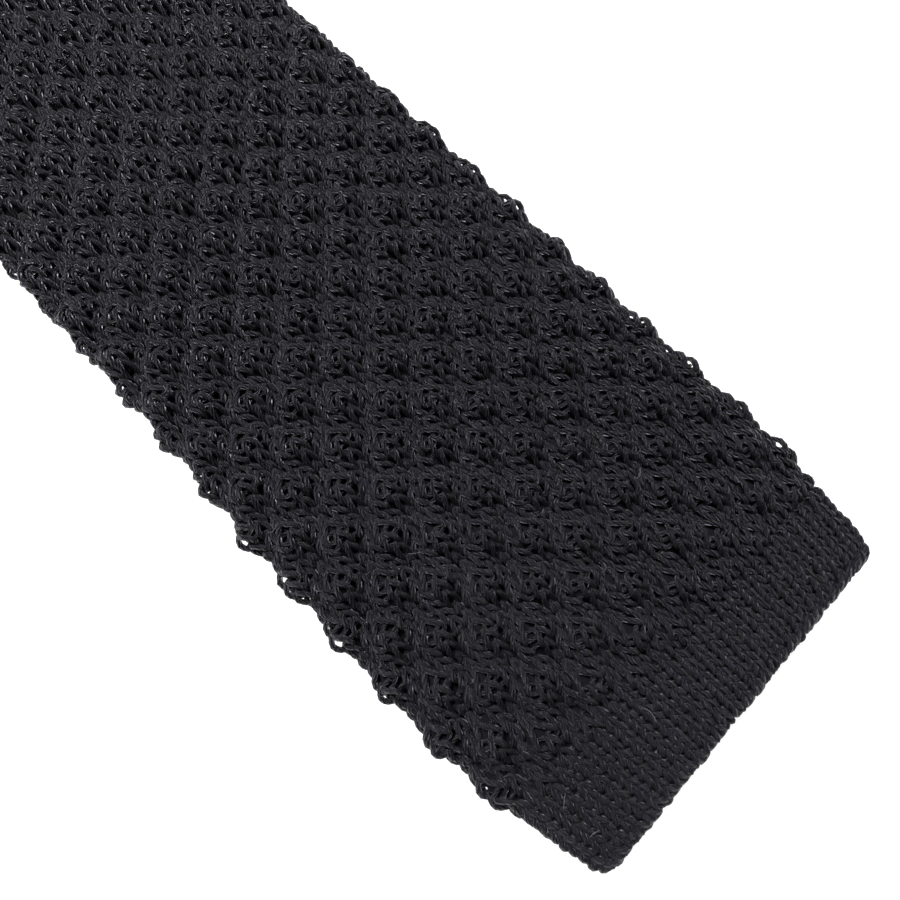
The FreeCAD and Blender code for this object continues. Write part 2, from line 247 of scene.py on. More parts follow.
def course_place(column, course):
    """Where a stitch starts along its column, from the reference, towards the square end."""
    first = REPEAT * np.floor(course / COURSES) + FIVE_STITCHES[np.mod(course, COURSES)]
    later = course + HALF_DROP
    second = REPEAT * np.floor(later / COURSES) + FIVE_STITCHES[np.mod(later, COURSES)] \
        - REPEAT / 2
    kind = np.mod(column, 4)
    return np.where(kind == 0, first, np.where(kind == 2, second, (first + second) / 2))


def front_place(column, course):
    """The same, with the last five courses evened out to meet the band of the wide blade."""
    even = REFERENCE_S - BAND_TOP - (LAST_COURSE - course) * NEXT_COURSE
    share = ease((course - LAST_COURSE + COURSES) / COURSES)
    return course_place(column, course) * (1 - share) + even * share


def wander(along, column):
    """Slow unevenness of hand-framed knitting, between about -1 and 1."""
    far = along / MM
    return 0.4 * np.sin(0.83 * column + 0.41 * far) \
        + 0.35 * np.sin(0.47 * far - 1.31 * column + 2.0) \
        + 0.35 * np.sin(1.9 * column + 0.19 * far + 4.0)


def repeat_wave(along):
    """1 level with the top of a bubble, and -1 half a repeat further."""
    return np.cos(2 * np.pi * (along - BUBBLE_PLACE) / REPEAT)


def bubble(along, column):
    """Height of the bubble pattern at a place in the repeat, before fading."""
    wave = repeat_wave(along) * np.cos(0.5 * np.pi * column)
    raised = np.where(wave > 0, np.abs(wave) ** BUBBLE_BLUNT, HOLLOW * wave)
    between = np.sin(0.5 * np.pi * column) ** 2
    uneven = 1 + BUBBLE_UNEVEN * wander(0.6 * along, 1.7 * column)
    return BUBBLE_HIGH * raised * uneven - SIDE_COLUMN_DEEP * between


def knit_place(column, along):
    """s and u of a place given by its column and its distance along that column."""
    s = REFERENCE_S - along + COURSE_LEAN * column
    u = (REFERENCE_Y + spiral_shift(along) + WALE * column) * squeeze(s) - middle_line(s)
    fade, rim = 6 * MM, 4 * MM
    inside = ease((s - BAND_LENGTH) / fade) * ease((TIE_LENGTH - TAIL_BAND_LENGTH - s) / fade)
    push = PUSH * repeat_wave(along) * np.sin(0.5 * np.pi * column)
    push = push * (1 - 0.7 * ease((np.abs(u) - half_width(s) + rim) / rim))
    return s + WANDER_ALONG * inside * wander(along, column), \
        u + inside * (push + WANDER_ACROSS * wander(1.3 * along, -column))


def knit_coordinates(s, u):
    """Column and distance along it of a place on the tie."""
    column = np.zeros_like(u)
    for _ in range(3):
        along = REFERENCE_S - s + COURSE_LEAN * column
        column = (u / squeeze(s) - REFERENCE_Y - spiral_shift(along)) / WALE
    return column, along


# ---- mesh building

def mesh_piece(name, points, faces, maps=None):
    """Mesh object from arrays. maps holds the corner coordinates of each UV layer."""
    mesh = bpy.data.meshes.new(name)
    faces = np.asarray(faces, np.int32)
    mesh.vertices.add(len(points))
    mesh.vertices.foreach_set("co", np.asarray(points, np.float32).ravel())
    mesh.loops.add(faces.size)
    mesh.loops.foreach_set("vertex_index", faces.ravel())
    mesh.polygons.add(len(faces))
    mesh.polygons.foreach_set("loop_start", np.arange(len(faces), dtype=np.int32) * faces.shape[1])
    mesh.update(calc_edges=True)
    mesh.polygons.foreach_set("use_smooth", np.ones(len(faces), bool))
    for layer, corners in (maps or {}).items():
        uv = mesh.uv_layers.new(name=layer)
        uv.data.foreach_set("uv", np.asarray(corners, np.float32).ravel())
    obj = bpy.data.objects.new(name, mesh)
    bpy.context.scene.collection.objects.link(obj)
    return obj


def refine(rows):
    """One more point between each two, on a smooth curve through all of them."""
    before = rows[:, :1] * 2 - rows[:, 1:2]
    after = rows[:, -1:] * 2 - rows[:, -2:-1]
    padded = np.concatenate([before, rows, after], axis=1)
    middle = (9 * (rows[:, :-1] + rows[:, 1:]) - padded[:, :-3] - padded[:, 3:]) / 16
    out = np.empty((rows.shape[0], rows.shape[1] * 2 - 1, rows.shape[2]))
    out[:, 0::2] = rows
    out[:, 1::2] = middle
    return out


def tubes(centre, normal, radius, sides):
    """Yarns along rows of points: points, faces, and the corners' UV layers."""
    along = np.gradient(centre, axis=1)
    length = np.linalg.norm(along, axis=2, keepdims=True)
    along = along / np.maximum(length, 1e-9)
    across = np.cross(along, normal)
    across /= np.maximum(np.linalg.norm(across, axis=2, keepdims=True), 1e-9)
    out = np.cross(across, along)
    run = np.cumsum(length[..., 0], axis=1) / MM
    angle = np.arange(sides) / sides * 2 * np.pi
    reach = radius[..., None]
    points = centre[:, :, None] + reach[..., None] * (
        np.cos(angle)[None, None, :, None] * across[:, :, None]
        + np.sin(angle)[None, None, :, None] * out[:, :, None])
    rows, count = centre.shape[:2]
    index = np.arange(rows * count * sides).reshape(rows, count, sides)
    here, there = index[:, :-1], index[:, 1:]
    faces = np.stack([here, np.roll(here, -1, 2), np.roll(there, -1, 2), there], -1)
    low = np.broadcast_to(np.arange(sides) / sides, here.shape)
    high = low + 1 / sides
    start = np.broadcast_to(run[:, :-1, None], here.shape)
    end = np.broadcast_to(run[:, 1:, None], here.shape)
    twist = np.stack([start, low, start, high, end, high, end, low], -1)
    row = np.broadcast_to(np.arange(rows)[:, None, None], here.shape)
    first = np.broadcast_to(np.arange(count - 1)[None, :, None], here.shape) / (count - 1)
    last = first + 1 / (count - 1)
    used = 0.9
    under, over = (row + used * low) / rows, (row + used * high) / rows
    strip = np.stack([first, under, first, over, last, over, last, under], -1)
    maps = {"twist": twist.reshape(-1, 2), "OFBake": strip.reshape(-1, 2)}
    return points.reshape(-1, 3), faces.reshape(-1, 4), maps


# One stitch of a looped yarn, from where it joins the stitch beside it, in ten points:
# across in leg spreads, along in courses. LOOP_OPEN is how much an open stitch widens there.

LOOP_ACROSS = np.array([0.0, 0.22, 0.62, 1.0, 0.82, 0.0, 0.82, 1.0, 0.62, 0.22])
LOOP_SIDE = np.array([-1, -1, -1, -1, -1, 0, 1, 1, 1, 1])
LOOP_ALONG = np.array([-0.16, 0.0, 0.50, 1.02, 1.30, 1.42, 1.30, 1.02, 0.50, 0.0])
LOOP_HEIGHT = np.array([-0.62, -0.22, 0.24, 0.06, -0.48, -0.66, -0.48, 0.06, 0.24, -0.22]) * MM
LOOP_RADIUS = np.array([0.78, 0.92, 1.06, 1.0, 0.80, 0.75, 0.80, 1.0, 1.06, 0.92]) * YARN
LOOP_OPEN = np.array([0, 0.2, 0.8, 1.0, 1.0, 0, 1.0, 1.0, 0.8, 0.2])
LEG_SPREAD = 0.72 * MM
WIDER = 0.10                    # how much wider a stitch is on top of a bubble
UNEVEN = 0.11 * MM              # how far a stitch strays from its even place
FAR_UNEVEN = 0.05 * MM          # the same in the plainer stitches
OPENINGS = np.array([0.85, 1.25, 0.85, 0.85, 1.48])    # of the five stitches of a bubble
SIDE_OPENING = 0.95             # of the stitches between the bubbles

ALL_COLUMNS = np.arange(-44, 50)
CLOSE_S = 150 * MM              # the face is modelled in full up to here
CLOSE_COLUMNS = np.arange(-12, 22)
CLOSE_COURSES = np.arange(int((REFERENCE_S - CLOSE_S) / REPEAT * COURSES), LAST_COURSE)


def opening(column, course):
    """How far the legs of a stitch stand apart: two stitches of each bubble stand open."""
    kind = np.mod(column, 4)
    place = np.where(kind == 2, np.mod(course + HALF_DROP, COURSES), np.mod(course, COURSES))
    return np.where(kind % 2 == 1, SIDE_OPENING, OPENINGS[place])


def loop_rows(columns, courses, place, relief, spread, seed):
    """Continuous yarns, one for each course, looped once in every column."""
    random = np.random.default_rng(seed)
    column, course = np.meshgrid(columns, courses)
    start = place(column, course)
    length = place(column, course + 1) - start
    shape = column.shape + LOOP_ACROSS.shape
    jitter = random.normal(0, 1, column.shape + (3,)).clip(-2, 2)
    along = start[..., None] + LOOP_ALONG * length[..., None] + jitter[..., :1] * UNEVEN
    reach = LOOP_ACROSS.copy()
    reach[0] = WALE / 2 / spread    # the border between two columns
    wave = repeat_wave(along) * np.cos(0.5 * np.pi * column)[..., None]
    wide = np.where(np.arange(len(reach)) == 0, 1.0, 1 + WIDER * relief * wave)
    wide = wide * (1 + relief * (opening(column, course) - 1)[..., None] * LOOP_OPEN)
    across = LOOP_SIDE * reach * spread * wide + jitter[..., 1:2] * UNEVEN
    float_column = column[..., None] + across / WALE
    height = LOOP_HEIGHT + jitter[..., 2:] * UNEVEN
    rows = np.stack([float_column, along, height], -1).reshape(len(courses), -1, 3)
    radius = np.broadcast_to(LOOP_RADIUS * (1 + 0.05 * jitter[..., :1]), shape)
    radius = radius.reshape(len(courses), -1, 1)
    return refine(np.concatenate([rows, radius], -1))


def leg_rows(column, course, place, rings):
    """Only the two visible legs of each stitch, for cloth that isn't seen close."""
    random = np.random.default_rng(5)
    start = place(column, course)
    length = place(column, course + 1) - start
    part = np.linspace(0, 1, rings)
    jitter = random.normal(0, 1, (len(column), 3)).clip(-2, 2)
    rows = []
    for side in (-1, 1):
        reach = side * LEG_SPREAD * (0.22 + 0.78 * part ** 0.8)
        along = start[:, None] + (-0.05 + 1.22 * part) * length[:, None] \
            + jitter[:, :1] * FAR_UNEVEN
        wave = repeat_wave(along) * np.cos(0.5 * np.pi * column)[:, None]
        across = reach * (1 + WIDER * wave) + jitter[:, 1:2] * FAR_UNEVEN
        height = (0.24 - 0.60 * (2 * part - 0.9) ** 2) * MM + jitter[:, 2:] * 0.8 * FAR_UNEVEN
        radius = YARN * (0.80 + 0.26 * np.sin(np.pi * np.clip(part + 0.05, 0, 1)))
        rows.append(np.stack([column[:, None] + across / WALE, along, height,
                              np.broadcast_to(radius, along.shape)], -1))
    return np.concatenate(rows)


def lay_on_tie(rows):
    """Turns rows of column, along, height and radius into points on the tie."""
    column, along, height, radius = np.moveaxis(rows, -1, 0)
    s, u = knit_place(column, along)
    lift = bubble(along, column) * relief_strength(s, u)
    points, normals = on_tie(s, u, height + lift)
    return points, normals, radius


def body_stitches(s_low, s_high):
    """Every bubble-knit stitch between two places along the tie, as columns and courses."""
    spare = COURSES + 1
    low = int((REFERENCE_S - s_high) / REPEAT * COURSES) - spare
    high = int((REFERENCE_S - s_low) / REPEAT * COURSES) + spare
    column, course = np.meshgrid(ALL_COLUMNS, np.arange(low, high))
    column, course = column.ravel(), course.ravel()
    s, u = knit_place(column, course_place(column, course))
    keep = (s >= s_low) & (s < s_high) & (np.abs(u) < round_half(s) - 0.5 * MM)
    return column[keep], course[keep]


def is_close(column, course):
    """Whether a stitch is among those modelled in full."""
    return (column >= CLOSE_COLUMNS[0]) & (column <= CLOSE_COLUMNS[-1]) \
        & (course >= CLOSE_COURSES[0]) & (course <= CLOSE_COURSES[-1])


def close_knit():
    """The bubble knit on the face of the wide blade, near its square end."""
    rows = loop_rows(CLOSE_COLUMNS, CLOSE_COURSES, front_place, 1.0, LEG_SPREAD, 3)
    points, normals, radius = lay_on_tie(rows)
    return mesh_piece("front_close_knit", *tubes(points, normals, radius, 8))


def plain_knit(name, s_low, s_high, sides, rings, skip_close=False):
    """Bubble knit made of single legs, between two places along the tie."""
    column, course = body_stitches(s_low, s_high)
    place = front_place if skip_close else course_place
    if skip_close:
        keep = ~is_close(column, course) & (course < LAST_COURSE)
        column, course = column[keep], course[keep]
    rows = leg_rows(column, course, place, rings)
    points, normals, radius = lay_on_tie(rows)
    return mesh_piece(name, *tubes(points, normals, radius, sides))


def band_place_front(column, course):
    """Stitches of the wide blade's band, level with each other in every column."""
    return REFERENCE_S - BAND_TOP + BAND_COURSE * course


def band_knit(name, place, columns):
    """Plain knit of an end band: flatter and fuller stitches without bubbles."""
    rows = loop_rows(columns, np.arange(BAND_COURSES), place, 0.0, LEG_SPREAD * 1.02, 7)
    column, along, height, radius = np.moveaxis(rows, -1, 0)
    height = 0.75 * height
    s = REFERENCE_S - along
    u = (REFERENCE_Y + spiral_shift(along) + WALE * column) * squeeze(s) - middle_line(s)
    points, normals = on_tie(s, u, height)
    return mesh_piece(name, *tubes(points, normals, radius * 1.06, 8))


def core(name, s_low, s_high):
    """Thin ground of the tube, which closes the gaps between the yarns; its dark, dull material is
    partly painted shade for those gaps.
    """
    count = max(int((s_high - s_low) / (1.6 * MM)), 6)
    s = np.linspace(s_low, s_high, count)
    share = np.linspace(-1, 1, 97)[:-1]
    s, share = np.meshgrid(s, share, indexing="ij")
    u = share * round_half(s)
    column, along = knit_coordinates(s, u)
    lift = bubble(along, column) * relief_strength(s, u)
    depth = np.minimum(CORE_DEPTH, np.interp(s, THICK_S, THICK_HALF) * 0.6)
    points, normals = on_tie(s, u, lift - depth)
    rings, around = s.shape
    index = np.arange(rings * around).reshape(rings, around)
    here, there = index[:-1], index[1:]
    faces = np.stack([here, there, np.roll(there, -1, 1), np.roll(here, -1, 1)], -1).reshape(-1, 4)
    half = around // 2
    caps = []
    for ring, order in ((index[0], -1), (index[-1], 1)):
        other = ring[::-1]
        quads = np.stack([ring[:half - 1], ring[1:half], other[1:half], other[:half - 1]], -1)
        caps.append(quads[:, ::order])
    faces = np.concatenate([faces] + caps)
    return mesh_piece(name, points.reshape(-1, 3), faces)


def band_place_tail(column, course):
    """Stitches of the tail's band. Its courses run the same way as the wide blade's."""
    return REFERENCE_S - (TIE_LENGTH - TAIL_BAND_LENGTH) - 0.4 * MM \
        - BAND_COURSE * TAIL_BAND_SHARE * (BAND_COURSES - 1 - course)


TACK_STITCHES = 9


def arched(low, high, lift, count=7):
    """Points of one stitch from low to high, its middle lifted off the cloth."""
    part = np.linspace(0, 1, count)[:, None]
    return np.array(low) + (np.array(high) - np.array(low)) * part \
        + np.array(lift) * (np.sin(np.pi * part) - 0.35)


def thread_piece(name, stitches, radius, normal, sides=6):
    """One mesh from stitches that are rows of equally many points."""
    rows = np.array(stitches)
    normals = np.broadcast_to(np.array(normal, float), rows.shape)
    return mesh_piece(name, *tubes(rows, normals, np.full(rows.shape[:2], radius), sides))


def sewn_row(name, node, out):
    """Close row of stitches that fills a node's box, each arched away from the cloth."""
    low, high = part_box(node)
    stitches = []
    rest = low.z if out > 0 else high.z
    for n in range(TACK_STITCHES):
        share = (n + 0.5) / TACK_STITCHES
        lean = 0.3 * MM * (1 if n % 2 else -1)
        x = low.x + (high.x - low.x) * share
        stitches.append(arched((x - lean, low.y, rest), (x + lean, high.y, rest),
                               (0, 0, 0.45 * MM * out)))
    return thread_piece(name, stitches, 0.21 * MM, (1, 0, 0))


def label_stitches(name, node, out):
    """Running stitches along both short ends of a label."""
    low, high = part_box(node)
    rest = high.z if out > 0 else low.z
    stitches = []
    inset = 1.3 * MM
    count = max(int((high.x - low.x) / (2.2 * MM)), 3)
    pitch = (high.x - low.x) / count
    for y in (low.y + inset, high.y - inset):
        for n in range(count):
            x = low.x + pitch * (n + 0.2)
            stitches.append(arched((x, y, rest), (x + pitch * 0.6, y, rest),
                                   (0, 0, 0.30 * MM * out)))
    return thread_piece(name, stitches, 0.17 * MM, (0, 1, 0))


def label_cloth(name, node, out):
    """Thin woven label, turned under at its short ends and not quite flat."""
    low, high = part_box(node)
    across, along = 41, 25
    thick, hem_thick, hem = 0.32 * MM, 0.22 * MM, 3 * MM
    y, x = np.meshgrid(np.linspace(low.y, high.y, across), np.linspace(low.x, high.x, along))
    wave = 0.12 * MM * np.sin((x - low.x) * 420) * np.cos((y - low.y) * 260)
    turned = hem_thick * ease((np.abs(y - (low.y + high.y) / 2)
                               - (high.y - low.y) / 2 + hem) / (0.8 * MM))
    base = low.z if out > 0 else high.z
    outer = base + out * (thick + wave + turned)
    inner = np.full_like(outer, base)
    top = np.stack([x, y, outer], -1).reshape(-1, 3)
    under = np.stack([x, y, inner], -1).reshape(-1, 3)
    index = np.arange(along * across).reshape(along, across)
    face = np.stack([index[:-1, :-1], index[1:, :-1], index[1:, 1:], index[:-1, 1:]], -1)
    rim = np.concatenate([index[0, :], index[1:, -1], index[-1, -2::-1], index[-2:0:-1, 0]])
    after = np.roll(rim, -1)
    shift = along * across
    wall = np.stack([rim, after, after + shift, rim + shift], -1)
    faces = np.concatenate([face.reshape(-1, 4), face.reshape(-1, 4)[:, ::-1] + shift, wall])
    return mesh_piece(name, np.concatenate([top, under]), faces)


def back_seam(name, s_low, s_high):
    """Chain of slanting stitches that closes the tube down the middle of its back."""
    pitch = 1.7 * MM
    s = np.arange(s_low, s_high - pitch, pitch)
    part = np.linspace(0, 1, 4)
    rows = []
    for side in (-1, 1):
        along = s[:, None] + pitch * (1.35 * part - 0.1)
        gap = (0.12 + 0.95 * part) * MM
        reach = side * (round_half(along) - gap)
        height = (0.40 - 0.55 * (2 * part - 0.9) ** 2) * MM + 0 * along
        points, normals = on_tie(along, reach, height)
        rows.append((points, normals))
    points = np.concatenate([row[0] for row in rows])
    normals = np.concatenate([row[1] for row in rows])
    radius = np.full(points.shape[:2], 0.36 * MM)
    made, faces, _ = tubes(points, normals, radius, 5)
    return mesh_piece(name, made, faces)


def end_loops(name, end_x, half, out, middle_z):
    """Small loops of yarn over the square end, which close the tube."""
    pitch = 1.03 * MM
    places = np.arange(-half + 0.6 * MM, half - 0.9 * MM, pitch)
    random = np.random.default_rng(11)
    stitches = []
    turn = np.linspace(-1.9, 1.9, 9)
    for y in places:
        tall = (0.86 + 0.06 * random.normal()) * MM
        reach = (0.68 + 0.08 * random.normal()) * MM
        recede = corner_cut(half - abs(y))
        x = end_x + out * (-0.48 * MM - recede + reach * np.cos(turn) * 1.1)
        stitches.append(np.stack([x, y + 0.16 * MM * turn, middle_z + tall * np.sin(turn)], -1))
    return thread_piece(name, stitches, 0.35 * MM, (0, 1, 0), 8)


def lint_fibres(name, count, s_low, s_high):
    """A few short pale fibres caught on the face of the cloth."""
    random = np.random.default_rng(23)
    rows, outs = [], []
    middle = 4
    part = np.linspace(-1, 1, 2 * middle + 1)
    for _ in range(count):
        s = random.uniform(s_low, s_high)
        u = random.uniform(-0.95, 0.95) * half_width(s)
        turn, bend = random.uniform(0, np.pi), random.uniform(-1.2, 1.2)
        reach = random.uniform(0.35, 1.3) * MM
        angle = turn + bend * part
        step_s, step_u = np.cumsum(np.cos(angle)), np.cumsum(np.sin(angle))
        fibre_s = s + reach * (step_s - step_s[middle]) / middle
        fibre_u = u + reach * (step_u - step_u[middle]) / middle
        column, along = knit_coordinates(fibre_s, fibre_u)
        lift = bubble(along, column) * relief_strength(fibre_s, fibre_u)
        height = lift + (0.55 + 0.25 * (1 - part ** 2) * random.uniform(0, 1)) * MM
        points, normals = on_tie(fibre_s, fibre_u, height)
        rows.append(points)
        outs.append(normals)
    radius = np.full((count, len(part)), 0.018 * MM)
    made, faces, _ = tubes(np.array(rows), np.array(outs), radius, 4)
    return mesh_piece(name, made, faces)


def joining_seam():
    """Ring of upright stitches where the two halves of the neck meet."""
    middle = (NECK_START_S + NECK_END_S) / 2
    count = 72
    part = np.linspace(-1, 1, 6)
    s = middle + part * 1.1 * MM
    height = (0.75 - 0.75 * part ** 2) * MM
    rows = []
    for n in range(count):
        u = (2 * (n + 0.5) / count - 1) * round_half(middle)
        rows.append(on_tie(s, u + part * 0.2 * MM, height))
    points = np.array([row[0] for row in rows])
    normals = np.array([row[1] for row in rows])
    made, faces, _ = tubes(points, normals, np.full(points.shape[:2], 0.34 * MM), 5)
    return mesh_piece("neck_join", made, faces)


KEEPER_FOOT = 3 * MM            # the part of the strap that is sewn to the blade
KEEPER_HALF_THICK = 0.45 * MM


def keeper_line():
    """Middle line of the keeper strap, seen along the tie."""
    low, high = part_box("keeper_loop")
    wall = high.y - KEEPER_FOOT - KEEPER_HALF_THICK
    foot = high.y
    bottom = low.z + KEEPER_HALF_THICK
    top = high.z - KEEPER_HALF_THICK
    corners = [(-foot, top), (-wall, top), (-wall, bottom), (wall, bottom), (wall, top),
               (foot, top)]
    y, z = [], []
    for (y0, z0), (y1, z1) in zip(corners[:-1], corners[1:]):
        steps = max(int(np.hypot(y1 - y0, z1 - z0) / (0.25 * MM)), 2)
        y += list(np.linspace(y0, y1, steps, endpoint=False))
        z += list(np.linspace(z0, z1, steps, endpoint=False))
    near = 3
    soften = np.ones(2 * near + 1) / (2 * near + 1)
    y = np.convolve(np.pad(y, near, mode="edge"), soften, "valid")
    z = np.convolve(np.pad(z, near, mode="edge"), soften, "valid")
    return y, z


def keeper_strap():
    """The strap's ground: a thin band with rounded long edges."""
    low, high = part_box("keeper_loop")
    y, z = keeper_line()
    step = np.stack([np.gradient(y), np.gradient(z)], -1)
    step /= np.linalg.norm(step, axis=1, keepdims=True)
    out = np.stack([step[:, 1], -step[:, 0]], -1)
    half = (high.x - low.x) / 2 - 0.5 * MM
    middle = (low.x + high.x) / 2
    around = 16
    angle = np.linspace(0, 2 * np.pi, around, endpoint=False)
    x = middle + half * np.sign(np.cos(angle)) * np.abs(np.cos(angle)) ** 0.4
    rise = 0.22 * MM * np.sin(angle)
    points = np.stack([np.broadcast_to(x, (len(y), around)),
                       y[:, None] + out[:, :1] * rise, z[:, None] + out[:, 1:] * rise], -1)
    index = np.arange(len(y) * around).reshape(len(y), around)
    here, there = index[:-1], index[1:]
    faces = np.stack([here, np.roll(here, -1, 1), np.roll(there, -1, 1), there], -1)
    return mesh_piece("keeper_ground", points.reshape(-1, 3), faces.reshape(-1, 4))


def keeper_knit():
    """Fine plain stitches over both faces of the keeper strap."""
    low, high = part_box("keeper_loop")
    y, z = keeper_line()
    run = np.concatenate([[0], np.cumsum(np.hypot(np.diff(y), np.diff(z)))])
    pitch, columns = 1.15 * MM, 7
    wide = (high.x - low.x) / columns
    part = np.linspace(0, 1, 5)
    rows, outs = [], []
    for face in (-1, 1):
        for column in range(columns):
            middle = low.x + wide * (column + 0.5)
            for place in np.arange(0.2 * MM, run[-1] - 1.5 * MM, pitch):
                for side in (-1, 1):
                    along = place + pitch * 1.25 * part
                    across = np.interp(along, run, y)
                    up = np.interp(along, run, z)
                    ahead = along + 0.1 * MM
                    step = np.stack([np.interp(ahead, run, y) - across,
                                     np.interp(ahead, run, z) - up], -1)
                    step /= np.maximum(np.linalg.norm(step, axis=1, keepdims=True), 1e-9)
                    out = face * np.stack([step[:, 1], -step[:, 0]], -1)
                    height = (0.32 - 0.25 * (2 * part - 0.9) ** 2) * MM
                    x = middle + side * (0.10 + 0.30 * part) * wide
                    rows.append(np.stack([x, across + out[:, 0] * height,
                                          up + out[:, 1] * height], -1))
                    outs.append(np.stack([0 * x, out[:, 0], out[:, 1]], -1))
    rows, outs = np.array(rows), np.array(outs)
    return mesh_piece("keeper_knit", *tubes(rows, outs, np.full(rows.shape[:2], 0.27 * MM), 6))


# ---- materials

def principled(name, colour, rough, sheen=0.0, specular=0.40):
    """Plain material with a faint violet gloss, and its shader."""
    material = bpy.data.materials.new(name)
    material.use_nodes = True
    shader = material.node_tree.nodes["Principled BSDF"]
    shader.inputs["Base Color"].default_value = (*colour, 1)
    shader.inputs["Roughness"].default_value = rough
    shader.inputs["Sheen Weight"].default_value = sheen
    shader.inputs["Sheen Roughness"].default_value = 0.45
    shader.inputs["Specular IOR Level"].default_value = specular
    shader.inputs["Specular Tint"].default_value = (0.93, 0.90, 1.0, 1)
    return material, shader


def arithmetic(nodes, links, operation, first, second):
    """Math node on two numbers or sockets."""
    node = nodes.new("ShaderNodeMath")
    node.operation = operation
    for place, value in enumerate((first, second)):
        if isinstance(value, (int, float)):
            node.inputs[place].default_value = value
        else:
            links.new(value, node.inputs[place])
    return node.outputs[0]


def add_twist_bump(material, shader, plies, pitch, depth):
    """Plies that wind round the yarn, with finer fibres along each ply."""
    nodes, links = material.node_tree.nodes, material.node_tree.links
    uv = nodes.new("ShaderNodeUVMap")
    uv.uv_map = "twist"
    split = nodes.new("ShaderNodeSeparateXYZ")
    links.new(uv.outputs["UV"], split.inputs[0])
    wound = arithmetic(nodes, links, "MULTIPLY", split.outputs[0], plies / pitch)
    round_it = arithmetic(nodes, links, "MULTIPLY", split.outputs[1], plies)
    phase = arithmetic(nodes, links, "ADD", wound, round_it)
    angle = arithmetic(nodes, links, "MULTIPLY", phase, 2 * np.pi)
    plies_height = arithmetic(nodes, links, "SINE", angle, 0.0)
    spread = nodes.new("ShaderNodeCombineXYZ")
    links.new(arithmetic(nodes, links, "MULTIPLY", phase, 5.0), spread.inputs[0])
    links.new(arithmetic(nodes, links, "MULTIPLY", split.outputs[0], 1.1), spread.inputs[1])
    fibres = nodes.new("ShaderNodeTexNoise")
    fibres.inputs["Scale"].default_value = 1.6
    fibres.inputs["Detail"].default_value = 2
    links.new(spread.outputs[0], fibres.inputs["Vector"])
    fine = arithmetic(nodes, links, "MULTIPLY", fibres.outputs["Fac"], 1.6)
    height = arithmetic(nodes, links, "ADD", plies_height, fine)
    bump = nodes.new("ShaderNodeBump")
    bump.inputs["Strength"].default_value = 1.0
    bump.inputs["Distance"].default_value = depth
    links.new(height, bump.inputs["Height"])
    links.new(bump.outputs["Normal"], shader.inputs["Normal"])


def add_tone(material, shader, colour):
    """Slight drift from black to violet black over the cloth, and from yarn to yarn."""
    nodes, links = material.node_tree.nodes, material.node_tree.links
    coordinates = nodes.new("ShaderNodeTexCoord")
    noise = nodes.new("ShaderNodeTexNoise")
    noise.inputs["Scale"].default_value = 420
    noise.inputs["Detail"].default_value = 4
    ramp = nodes.new("ShaderNodeValToRGB")
    ramp.color_ramp.elements[0].position = 0.35
    ramp.color_ramp.elements[1].position = 0.68
    ramp.color_ramp.elements[0].color = (*(0.72 * np.array(colour) * (1.0, 1.05, 0.92)), 1)
    ramp.color_ramp.elements[1].color = (*(1.35 * np.array(colour) * (1.03, 0.95, 1.12)), 1)
    links.new(coordinates.outputs["Object"], noise.inputs["Vector"])
    links.new(noise.outputs["Fac"], ramp.inputs["Fac"])
    links.new(ramp.outputs["Color"], shader.inputs["Base Color"])


def yarn_material(name, colour, bumpy):
    """Black yarn. The plain kind is for thin seams."""
    material, shader = principled(name, colour, 0.35, sheen=0.02)
    if bumpy:
        add_twist_bump(material, shader, plies=5, pitch=4.5, depth=0.24 * MM)
        add_tone(material, shader, colour)
    return material


BLACK = (0.0021, 0.0019, 0.0046)
yarn = yarn_material("yarn", BLACK, True)
yarn_far = yarn_material("yarn_far", BLACK, False)
thread, _ = principled("thread", BLACK, 0.65, specular=0.2)
satin, _ = principled("satin", (0.022, 0.022, 0.026), 0.38)
tape, _ = principled("tape", (0.012, 0.012, 0.014), 0.8, sheen=0.1)
lint, _ = principled("lint", (0.14, 0.14, 0.15), 0.6, sheen=0.2)
# Painted shade: the ground sheet stands for the cloth inside the tube, and is set darker and
# duller than the yarn so that the gaps between the stitches read as shade.
gap_shade_ground, _ = principled("gap_shade_ground", (0.0018, 0.0018, 0.0024), 0.95, specular=0.1)

# ---- camera, floor and light

def make_camera():
    """Close above the square end, looking down and turned by about 45 degrees."""
    data = bpy.data.cameras.new("camera")
    data.lens = 24
    data.sensor_width = 36
    data.clip_start = 0.005
    camera = bpy.data.objects.new("camera", data)
    bpy.context.scene.collection.objects.link(camera)
    right = Vector((0.702, 0.711, 0.039))
    up = Vector((-0.698, 0.676, 0.236))
    back = Vector((0.142, -0.193, 0.971))
    turn = Matrix((right, up, back)).transposed()
    top_z = FRONT_MID_Z + 1.9 * MM
    place = Vector((TIP_X - 37.8 * MM, -19.4 * MM, top_z + 78.3 * MM))
    camera.matrix_world = Matrix.Translation(place) @ turn.to_4x4()
    bpy.context.scene.camera = camera


def make_floor():
    """Large white table that glows a little, so that the shadow on it is faint."""
    half = 12.0
    points = [(-half, -half, 0), (half, -half, 0), (half, half, 0), (-half, half, 0)]
    floor = mesh_piece("floor", points, [(0, 1, 2, 3)])
    material, shader = principled("floor_white", (0.24, 0.24, 0.24), 0.9)
    shader.inputs["Emission Color"].default_value = (1, 1, 1, 1)
    shader.inputs["Emission Strength"].default_value = 0.86
    floor.data.materials.append(material)


def make_light(name, place, target, size, power):
    """Square lamp that faces the target."""
    data = bpy.data.lights.new(name, "AREA")
    data.size = size
    data.energy = power
    light = bpy.data.objects.new(name, data)
    bpy.context.scene.collection.objects.link(light)
    light.location = place
    aim = Vector(target) - Vector(place)
    light.rotation_euler = aim.to_track_quat("-Z", "Y").to_euler()


